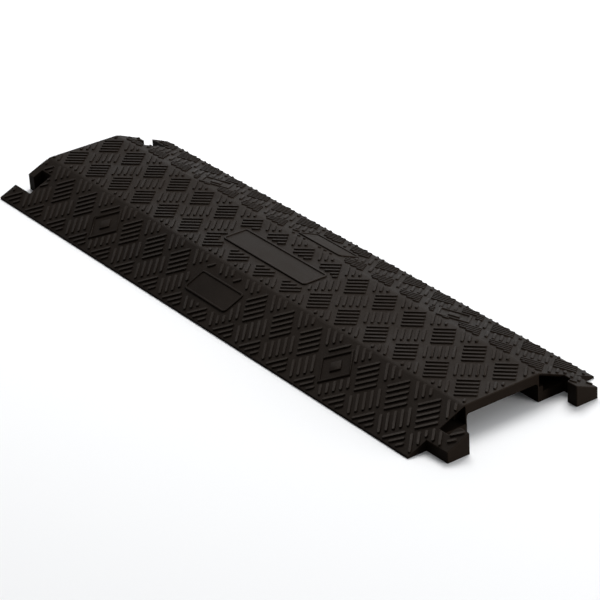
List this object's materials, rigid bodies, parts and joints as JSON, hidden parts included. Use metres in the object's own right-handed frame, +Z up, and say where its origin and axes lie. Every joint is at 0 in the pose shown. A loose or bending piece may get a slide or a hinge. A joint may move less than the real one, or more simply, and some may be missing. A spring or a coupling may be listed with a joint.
{
  "type": "cable protector ramp",
  "caption": "Drop-over cable protector ramp with sloped sides, raised bar tread, an open cable channel underneath, and end hooks and sockets that link ramps in a row.",
  "frame": {"origin": "on the floor, under the middle of the overall length and width", "axes": "+X along the length towards the end with the hooks, +Y across towards the rear ramp, +Z up"},
  "size_m": [0.9144, 0.2666, 0.0381],
  "materials": {
    "moulding": "satin moulded polyurethane, fine grain",
    "tread": "satin moulded polyurethane, slightly polished on the crests",
    "artwork": "satin moulded polyurethane, smooth"
  },
  "bodies": {
    "root": {"deck": "moulding", "deck_plaque": "artwork", "deck_tread": "tread", "front_channel_wall": "moulding", "front_emblems": "artwork", "front_hook": "moulding", "front_hook_root": "moulding", "front_plaque": "artwork", "front_ramp": "moulding", "front_ramp_tread": "tread", "front_ribs": "moulding", "front_socket": "moulding", "front_toe": "moulding", "rear_channel_wall": "moulding", "rear_emblems": "artwork", "rear_hook": "moulding", "rear_hook_root": "moulding", "rear_plaque": "artwork", "rear_ramp": "moulding", "rear_ramp_tread": "tread", "rear_ribs": "moulding", "rear_socket": "moulding", "rear_toe": "moulding"}
  },
  "joints": []
}
